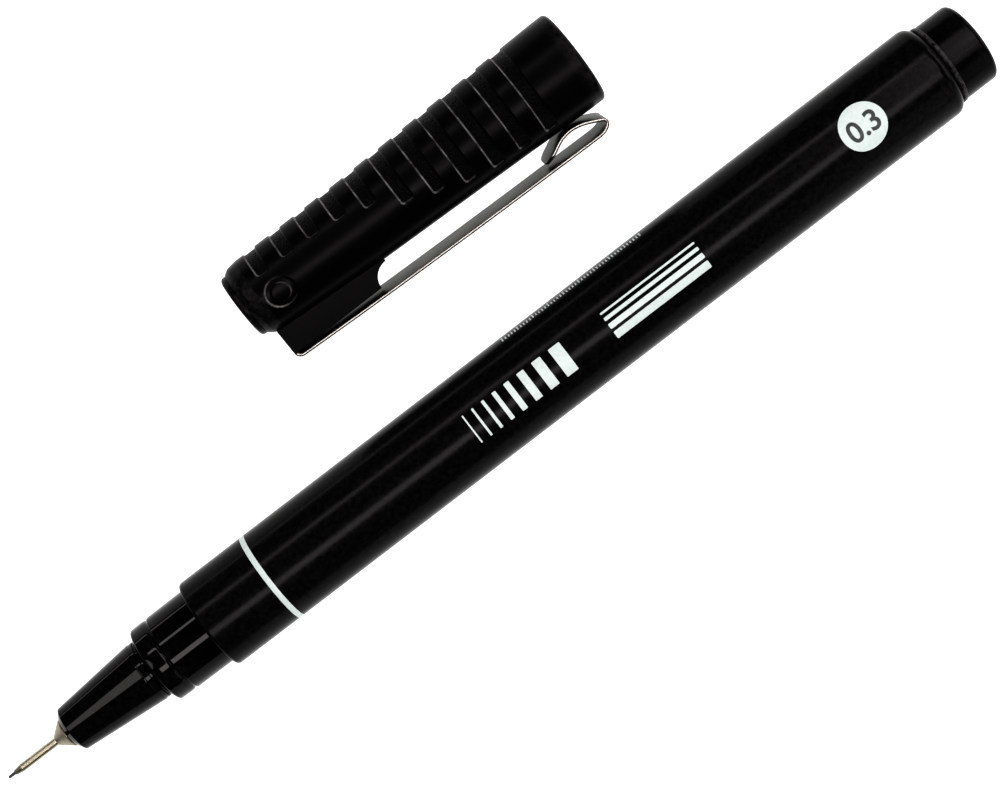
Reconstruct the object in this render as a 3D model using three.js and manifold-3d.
// A felt tip drawing pen (a technical fineliner) with its cap off and lying beside it.
//
// Units are millimetres, +Z is up. The pen lies on the ground along X with its nib towards -X,
// and the cap lies parallel to it on the +Y side with its open end towards +X.
// The origin is on the ground, in the middle of the two along X and Y.
//
// Two coordinates are used inside the groups:
//   on the pen, x is the distance from the nib's tip;
//   on the cap, x is the distance from the closed end and the clip stands on the +Z side.

import * as THREE from 'three';
import { mergeVertices } from 'three/addons/utils/BufferGeometryUtils.js';
import Module from 'manifold-3d';

const wasm = await Module();
wasm.setup();

// ---------------------------------------------------------------- driving dimensions

const CLEARANCE = 0.1; // between round pieces that fit inside each other
const GAP = 0.3; // between faces that meet

// Fibre nib, its steel tube and the metal cone
const nib = { tipRadius: 0.16, rodRadius: 0.19, showing: 0.85, length: 12 };
const tube = { wall: 0.15, bore: 0.05, mouthWall: 0.04, taper: 0.75, end: 12 };
const cone = { start: 6.4, wall: 0.11, bore: 0.04, end: 8, endRadius: 1.85, stemRadius: 1.5, stemLength: 5 };

// Nose, the glossy cone behind the metal one
const nose = { start: 8.1, frontRadius: 2.47, edge: 0.35, end: 18.8, endRadius: 3.48, spigotLength: 9 };

// Section, the glossy sleeve that the cap closes on
const section = {
  start: 18.95, beadRadius: 4.4, beadRound: 0.9, beadEnd: 20.9,
  waist: 21.4, waistRadius: 4.36, sleeveStart: 22.3, sleeveRadius: 4.52, spigotWall: 0.63, spigotLength: 13,
};

// Barrel
const barrel = {
  start: 26.3, length: 96.7, frontRadius: 5.165, rearRadius: 5.31, frontRound: 0.4,
  wall: 0.865, rearRoundLength: 2, rearRoundDepth: 0.72,
};

// Tail plug, which the cap also fits on
const tail = {
  capFit: 0.13, length: 4.1, round: 0.5, flangeHeight: 0.18, flangeThickness: 0.5,
  stemLength: 8.5, stemWall: 0.8, endWall: 1.5,
};

// Ink store: a fibre rod in a film, fed by a wick
const store = { airGap: 0.55, start: 42, endGap: 0.8, filmThickness: 0.15, filmOverhang: 0.2 };
const wick = { radius: 0.9, point: 2, inStore: 8 };

// Cap shell: a thinner closed end, a cone and a straight rim
const cap = {
  length: 44.3, fit: 0.15, rimWall: 0.83, wall: 0.71, endStraight: 12.5, rimStraight: 1.6,
  shoulderRound: 1.05, rimRound: 0.6, endWall: 3, plugHoleRadius: 3.1,
};

// Grip grooves: each stops short of the clip's side, at this many degrees from the clip
const groove = {
  first: 4.5, lastFromRim: 6.6, width: 1.42, depth: 0.18,
  stops: [124, 125, 125, 122, 111, 87, 72, 57, 48, 47, 44],
};

// Crown, the disc that closes the cap's end
const crown = { thickness: 0.9, round: 0.7, stemLength: 2.4 };

// Inner cap, the cup that seals over the nose
const liner = { seal: 0.02, wall: 0.45, endWall: 1, round: 1, nibRoom: 4.3, fromBore: 1 };

// Fin that carries the clip, and the slot that takes the clip's tongue
const fin = { setBack: 0.7, length: 11.4, height: 1.99, width: 3, blend: 2.1, slotWidth: 2, slotLength: 1.1 };

// Clip: a bent steel strip, higher at its free end than at its root. Its places are from the rim.
const clip = {
  width: 4.2, thickness: 0.35, rise: 0.9, bend: 0.3, tongueWidth: 1.4, tongueLength: 2.4,
  straightEnd: 2.5, foot: 5.3, footRise: 1.05, tip: 9.4,
};

// Where the two lie
const layout = { spacing: 24.24, capFromTip: 49.24, capRoll: 22.4 };

// ---------------------------------------------------------------- sizes that follow

const tubeBore = nib.rodRadius + tube.bore;
const tubeRadius = tubeBore + tube.wall;
const coneBore = tubeRadius + cone.bore;
const stemEnd = cone.end + cone.stemLength;
const noseBore = wick.radius + CLEARANCE;
const noseEnd = nose.end + nose.spigotLength;
const sectionFace = barrel.start - CLEARANCE;
const sectionEnd = barrel.start + section.spigotLength;
const barrelEnd = barrel.start + barrel.length;
const barrelBore = barrel.frontRadius - barrel.wall;
const penLength = barrelEnd + tail.length;
const tailStemStart = barrelEnd - tail.stemLength;
const storeEnd = tailStemStart - store.endGap;
const sectionSpigot = barrelBore - CLEARANCE;
const sectionBore = sectionSpigot - section.spigotWall;
const filmRadius = barrelBore - store.airGap;
const storeRadius = filmRadius - store.filmThickness - CLEARANCE / 2;
const wickStart = nib.length + GAP;
const wickEnd = store.start + wick.inStore;

// With the cap on, its rim stops just short of the barrel.
const capReach = barrel.start - GAP;
const capBore = section.sleeveRadius + cap.fit;
const boreStart = cap.length - (capReach - section.start) - CLEARANCE / 2;
const rimRadius = capBore + cap.rimWall;
const tailRadius = capBore - tail.capFit;
const linerBore = nose.endRadius + liner.seal;
const linerRadius = linerBore + liner.wall;
const linerStart = cap.length - capReach - liner.nibRoom - liner.endWall;
const linerEnd = boreStart - liner.fromBore;
const chamberRadius = linerRadius + CLEARANCE;
const endRadius = chamberRadius + cap.wall;
const shellStart = crown.thickness + CLEARANCE;
const chamberStart = shellStart + cap.endWall;
const finStart = shellStart + fin.setBack;
const finEnd = finStart + fin.length;
const finTop = endRadius + fin.height;
const clipBack = finStart + CLEARANCE / 2 + clip.thickness / 2;
const clipRoot = finTop + GAP + clip.thickness / 2;

// ---------------------------------------------------------------- helpers

// A closed mesh as a solid that can be cut and joined.
function solidOf(geometry) {
  const bare = geometry.clone();
  bare.deleteAttribute('normal');
  bare.deleteAttribute('uv');
  const merged = mergeVertices(bare, 1e-4);
  const corners = merged.index.array;
  const triangles = [];
  for (let i = 0; i < corners.length; i += 3) {
    const [a, b, c] = corners.subarray(i, i + 3);
    if (a !== b && b !== c && c !== a) {
      triangles.push(a, b, c);
    }
  }
  return new wasm.Manifold(new wasm.Mesh({
    numProp: 3,
    vertProperties: new Float32Array(merged.attributes.position.array),
    triVerts: new Uint32Array(triangles),
  }));
}

function geometryOf(solid) {
  const mesh = solid.getMesh();
  const geometry = new THREE.BufferGeometry();
  geometry.setAttribute('position', new THREE.BufferAttribute(new Float32Array(mesh.vertProperties), 3));
  geometry.setIndex(new THREE.BufferAttribute(new Uint32Array(mesh.triVerts), 1));
  geometry.computeVertexNormals();
  return geometry;
}

// A round piece about the X axis. The outline's points are (x, radius), given along the outside
// towards +X and back along the bore, or from axis to axis where the piece has no bore.
function turned(outline, sides = 32) {
  const points = outline.getPoints(3).map((point) => new THREE.Vector2(Math.max(point.y, 0), point.x));
  const first = points[0];
  const last = points[points.length - 1];
  if (first.x > 0 && first.distanceTo(last) > 1e-6) {
    points.push(first.clone());
  }
  return solidOf(new THREE.LatheGeometry(points, sides).rotateZ(-Math.PI / 2));
}

// A straight-line outline through (x, radius) points.
function outlineOf(...points) {
  const outline = new THREE.Path();
  outline.moveTo(...points[0]);
  for (const point of points.slice(1)) {
    outline.lineTo(...point);
  }
  return outline;
}

// A flat shape in the X-Z plane, extruded across Y to the given width about the middle.
function plate(shape, width) {
  const geometry = new THREE.ExtrudeGeometry(shape, { depth: width, bevelEnabled: false, curveSegments: 8 });
  geometry.rotateX(Math.PI / 2);
  geometry.translate(0, width / 2, 0);
  return solidOf(geometry);
}

function rectangle(x0, x1, z0, z1) {
  return new THREE.Shape([
    new THREE.Vector2(x0, z0), new THREE.Vector2(x1, z0), new THREE.Vector2(x1, z1), new THREE.Vector2(x0, z1),
  ]);
}

// The outline of a strip that follows a path in the X-Z plane.
function stripShape(path, thickness) {
  const centre = path.getPoints(6);
  const side = (sign) => centre.map((point, i) => {
    const before = centre[Math.max(i - 1, 0)];
    const after = centre[Math.min(i + 1, centre.length - 1)];
    const along = after.clone().sub(before).normalize();
    return new THREE.Vector2(-along.y, along.x).multiplyScalar(sign * thickness / 2).add(point);
  });
  return new THREE.Shape([...side(1), ...side(-1).reverse()]);
}

function material(color, roughness, metalness = 0) {
  return new THREE.MeshStandardMaterial({ color, roughness, metalness });
}

function piece(name, solid, look) {
  const mesh = new THREE.Mesh(geometryOf(solid), look);
  mesh.name = name;
  return mesh;
}

// ---------------------------------------------------------------- pen

function makeFibreNib() {
  const outline = new THREE.Path();
  outline.moveTo(0, 0);
  outline.absarc(nib.tipRadius, 0, nib.tipRadius, Math.PI, Math.PI / 2, true);
  outline.lineTo(nib.showing, nib.rodRadius);
  outline.lineTo(nib.length, nib.rodRadius);
  outline.lineTo(nib.length, 0);
  return turned(outline, 16);
}

function makeNibTube() {
  return turned(outlineOf(
    [nib.showing, tubeBore + tube.mouthWall],
    [nib.showing + tube.taper, tubeRadius],
    [tube.end, tubeRadius],
    [tube.end, tubeBore],
    [nib.showing, tubeBore],
  ), 16);
}

function makeNibCone() {
  return turned(outlineOf(
    [cone.start, coneBore],
    [cone.start, coneBore + cone.wall],
    [cone.end, cone.endRadius],
    [cone.end + CLEARANCE / 2, cone.stemRadius],
    [stemEnd, cone.stemRadius],
    [stemEnd, coneBore],
  ), 24);
}

function makeNoseCone() {
  const seat = cone.stemRadius + CLEARANCE;
  const seatEnd = stemEnd + GAP;
  const spigot = sectionBore - CLEARANCE;
  const outline = new THREE.Path();
  outline.moveTo(nose.start, seat);
  outline.lineTo(nose.start, nose.frontRadius - nose.edge);
  outline.absarc(nose.start + nose.edge, nose.frontRadius - nose.edge, nose.edge, Math.PI, Math.PI / 2, true);
  outline.lineTo(nose.end, nose.endRadius);
  outline.lineTo(nose.end, spigot);
  outline.lineTo(noseEnd, spigot);
  outline.lineTo(noseEnd, noseBore);
  outline.lineTo(seatEnd, noseBore);
  outline.lineTo(seatEnd, seat);
  return turned(outline);
}

function makeSectionSleeve() {
  const { start, beadRadius, beadRound } = section;
  const outline = new THREE.Path();
  outline.moveTo(start, sectionBore);
  outline.lineTo(start, beadRadius - beadRound);
  outline.absarc(start + beadRound, beadRadius - beadRound, beadRound, Math.PI, Math.PI / 2, true);
  outline.lineTo(section.beadEnd, beadRadius);
  outline.lineTo(section.waist, section.waistRadius);
  outline.lineTo(section.sleeveStart, section.sleeveRadius);
  outline.lineTo(sectionFace, section.sleeveRadius);
  outline.lineTo(sectionFace, sectionSpigot);
  outline.lineTo(sectionEnd, sectionSpigot);
  outline.lineTo(sectionEnd, sectionBore);
  return turned(outline);
}

function makeFeedWick() {
  return turned(outlineOf([wickStart, 0], [wickStart + wick.point, wick.radius], [wickEnd, wick.radius], [wickEnd, 0]), 16);
}

function makeInkReservoir() {
  const hole = wick.radius + CLEARANCE;
  return turned(outlineOf(
    [wickEnd + GAP, 0],
    [wickEnd + GAP, hole],
    [store.start, hole],
    [store.start, storeRadius],
    [storeEnd, storeRadius],
    [storeEnd, 0],
  ), 24);
}

function makeReservoirFilm() {
  const inner = filmRadius - store.filmThickness;
  const start = store.start - store.filmOverhang;
  const end = storeEnd + store.filmOverhang;
  return turned(outlineOf([start, inner], [start, filmRadius], [end, filmRadius], [end, inner]), 24);
}

function makeBarrel() {
  const { start, frontRadius, frontRound, rearRadius, rearRoundLength, rearRoundDepth } = barrel;
  const outline = new THREE.Path();
  outline.moveTo(start, barrelBore);
  outline.lineTo(start, frontRadius - frontRound);
  outline.absarc(start + frontRound, frontRadius - frontRound, frontRound, Math.PI, Math.PI / 2, true);
  outline.lineTo(barrelEnd - rearRoundLength, rearRadius);
  outline.absellipse(
    barrelEnd - rearRoundLength, rearRadius - rearRoundDepth,
    rearRoundLength, rearRoundDepth, Math.PI / 2, 0, true,
  );
  outline.lineTo(barrelEnd, barrelBore);
  return turned(outline);
}

function makeTailPlug() {
  const stem = barrelBore - CLEARANCE;
  const bore = stem - tail.stemWall;
  const flangeStart = barrelEnd + CLEARANCE / 2;
  const flangeEnd = flangeStart + tail.flangeThickness;
  const outline = new THREE.Path();
  outline.moveTo(penLength - tail.endWall, 0);
  outline.lineTo(penLength - tail.endWall, bore);
  outline.lineTo(tailStemStart, bore);
  outline.lineTo(tailStemStart, stem);
  outline.lineTo(flangeStart, stem);
  outline.lineTo(flangeStart, tailRadius + tail.flangeHeight);
  outline.lineTo(flangeEnd, tailRadius + tail.flangeHeight);
  outline.lineTo(flangeEnd, tailRadius);
  outline.lineTo(penLength - tail.round, tailRadius);
  outline.absarc(penLength - tail.round, tailRadius - tail.round, tail.round, Math.PI / 2, 0, true);
  outline.lineTo(penLength, 0);
  return turned(outline);
}

// ---------------------------------------------------------------- cap

// The shell's outer radius at a place along the cap.
function shellRadius(x) {
  const rimStart = cap.length - cap.rimStraight;
  const share = THREE.MathUtils.clamp((x - cap.endStraight) / (rimStart - cap.endStraight), 0, 1);
  return THREE.MathUtils.lerp(endRadius, rimRadius, share);
}

function makeShellBody() {
  const { length, shoulderRound, rimRound, plugHoleRadius } = cap;
  const outline = new THREE.Path();
  outline.moveTo(shellStart, plugHoleRadius);
  outline.lineTo(shellStart, endRadius - shoulderRound);
  outline.absarc(shellStart + shoulderRound, endRadius - shoulderRound, shoulderRound, Math.PI, Math.PI / 2, true);
  outline.lineTo(cap.endStraight, endRadius);
  outline.lineTo(length - cap.rimStraight, rimRadius);
  outline.lineTo(length - rimRound, rimRadius);
  outline.absarc(length - rimRound, rimRadius - rimRound, rimRound, Math.PI / 2, 0, true);
  outline.lineTo(length, capBore);
  outline.lineTo(boreStart, capBore);
  outline.lineTo(boreStart, chamberRadius);
  outline.lineTo(chamberStart, chamberRadius);
  outline.lineTo(chamberStart, plugHoleRadius);
  return turned(outline);
}

// One groove's cutter: a part of a ring that stops on both sides of the clip.
function makeGroove(middle, stop) {
  const floor = shellRadius(middle) - groove.depth;
  const outside = shellRadius(middle) + 1;
  const from = THREE.MathUtils.degToRad(stop);
  const to = 2 * Math.PI - from;
  const ring = new THREE.Shape();
  ring.absarc(0, 0, outside, from, to, false);
  ring.absarc(0, 0, floor, to, from, true);
  const geometry = new THREE.ExtrudeGeometry(ring, { depth: groove.width, bevelEnabled: false, curveSegments: 24 });
  geometry.rotateY(-Math.PI / 2);
  geometry.translate(middle + groove.width / 2, 0, 0);
  return solidOf(geometry);
}

function makeFin() {
  const root = chamberRadius + GAP;
  const shape = new THREE.Shape();
  shape.moveTo(finStart, root);
  shape.lineTo(finStart, finTop);
  shape.lineTo(finEnd, finTop);
  shape.absarc(finEnd + fin.blend, finTop, fin.blend, Math.PI, 1.5 * Math.PI, false);
  shape.lineTo(finEnd + fin.blend, root);
  return plate(shape, fin.width);
}

function makeCapShell() {
  let shell = makeShellBody().add(makeFin());
  const last = cap.length - groove.lastFromRim;
  const pitch = (last - groove.first) / (groove.stops.length - 1);
  groove.stops.forEach((stop, i) => {
    shell = shell.subtract(makeGroove(groove.first + i * pitch, stop));
  });
  const slotFoot = finTop - clip.tongueLength - GAP;
  const slot = rectangle(finStart - 1, finStart + fin.slotLength, slotFoot, finTop + 1);
  return shell.subtract(plate(slot, fin.slotWidth));
}

function makeCapCrown() {
  const { thickness, round, stemLength } = crown;
  const radius = endRadius - cap.shoulderRound;
  const stem = cap.plugHoleRadius - CLEARANCE;
  const outline = new THREE.Path();
  outline.moveTo(0, 0);
  outline.lineTo(0, radius - round);
  outline.absarc(round, radius - round, round, Math.PI, Math.PI / 2, true);
  outline.lineTo(thickness, radius);
  outline.lineTo(thickness, stem);
  outline.lineTo(thickness + stemLength, stem);
  outline.lineTo(thickness + stemLength, 0);
  return turned(outline);
}

function makeInnerCap() {
  const { endWall, round } = liner;
  const outline = new THREE.Path();
  outline.moveTo(linerStart, 0);
  outline.lineTo(linerStart, linerRadius - round);
  outline.absarc(linerStart + round, linerRadius - round, round, Math.PI, Math.PI / 2, true);
  outline.lineTo(linerEnd, linerRadius);
  outline.lineTo(linerEnd, linerBore);
  outline.lineTo(linerStart + endWall, linerBore);
  outline.lineTo(linerStart + endWall, 0);
  return turned(outline);
}

// The strip: up round its root, along, round the free end, and back to a foot on the shell.
function clipPath() {
  const straightEnd = cap.length - clip.straightEnd;
  const foot = cap.length - clip.foot;
  const tip = cap.length - clip.tip;
  const freeHeight = clipRoot + clip.rise;
  const footHeight = shellRadius(foot) + GAP + clip.thickness / 2;
  const drop = freeHeight - footHeight;
  const path = new THREE.Path();
  path.moveTo(clipBack, finTop + CLEARANCE);
  path.lineTo(clipBack, clipRoot - clip.bend);
  path.absarc(clipBack + clip.bend, clipRoot - clip.bend, clip.bend, Math.PI, Math.PI / 2, true);
  path.lineTo(straightEnd, freeHeight);
  path.splineThru([
    new THREE.Vector2(straightEnd + 1.05, freeHeight - 0.17 * drop),
    new THREE.Vector2(straightEnd + 1.2, freeHeight - 0.45 * drop),
    new THREE.Vector2(foot + 1.9, footHeight + 0.16 * drop),
    new THREE.Vector2(foot, footHeight),
    new THREE.Vector2((foot + tip) / 2, footHeight + 0.35 * clip.footRise),
    new THREE.Vector2(tip, footHeight + clip.footRise),
  ]);
  return path;
}

function makeClip() {
  const half = clip.thickness / 2;
  const strip = plate(stripShape(clipPath(), clip.thickness), clip.width);
  const tongue = rectangle(clipBack - half, clipBack + half, finTop - clip.tongueLength, clipRoot - clip.bend);
  return strip.add(plate(tongue, clip.tongueWidth));
}

// ---------------------------------------------------------------- looks

const satinBlack = () => material(0x26262a, 0.45);
const glossBlack = () => material(0x0c0c0e, 0.12);
const nickel = () => material(0xc9c2b2, 0.25, 1);
const steel = () => material(0xb8b6b0, 0.3, 1);

// ---------------------------------------------------------------- assembly

const pen = new THREE.Group();
pen.add(
  piece('fibre_nib', makeFibreNib(), material(0x1a1a1c, 0.7)),
  piece('nib_tube', makeNibTube(), steel()),
  piece('nib_cone', makeNibCone(), nickel()),
  piece('nose_cone', makeNoseCone(), glossBlack()),
  piece('section_sleeve', makeSectionSleeve(), glossBlack()),
  piece('feed_wick', makeFeedWick(), material(0x2b2b33, 0.9)),
  piece('ink_reservoir', makeInkReservoir(), material(0x2e2e38, 0.95)),
  piece('reservoir_film', makeReservoirFilm(), material(0xe6e8ea, 0.3)),
  piece('barrel', makeBarrel(), satinBlack()),
  piece('tail_plug', makeTailPlug(), satinBlack()),
);

const capTurn = new THREE.Group();
capTurn.add(
  piece('cap_shell', makeCapShell(), satinBlack()),
  piece('cap_crown', makeCapCrown(), satinBlack()),
  piece('inner_cap', makeInnerCap(), material(0xd9d9d4, 0.5)),
  piece('clip', makeClip(), steel()),
);
// The clip points at the pen and leans towards the ground until its root meets it.
capTurn.rotation.x = THREE.MathUtils.degToRad(90 + layout.capRoll);

// The cap rests on its rim and on the shoulder of its thinner closed end.
const restStart = shellStart + cap.shoulderRound;
const restEnd = cap.length - cap.rimRound;
const pitch = Math.atan2(rimRadius - endRadius, restEnd - restStart);
const capPlace = new THREE.Group();
capPlace.add(capTurn);
capPlace.rotation.y = -pitch;

const width = barrel.rearRadius + layout.spacing + rimRadius;
const penSide = barrel.rearRadius - width / 2;
pen.position.set(-penLength / 2, penSide, barrel.rearRadius);
const closedEndHeight = endRadius / Math.cos(pitch) - restStart * Math.tan(pitch);
capPlace.position.set(layout.capFromTip - penLength / 2, penSide + layout.spacing, closedEndHeight);

const marker = new THREE.Group();
marker.add(pen, capPlace);

export default marker;
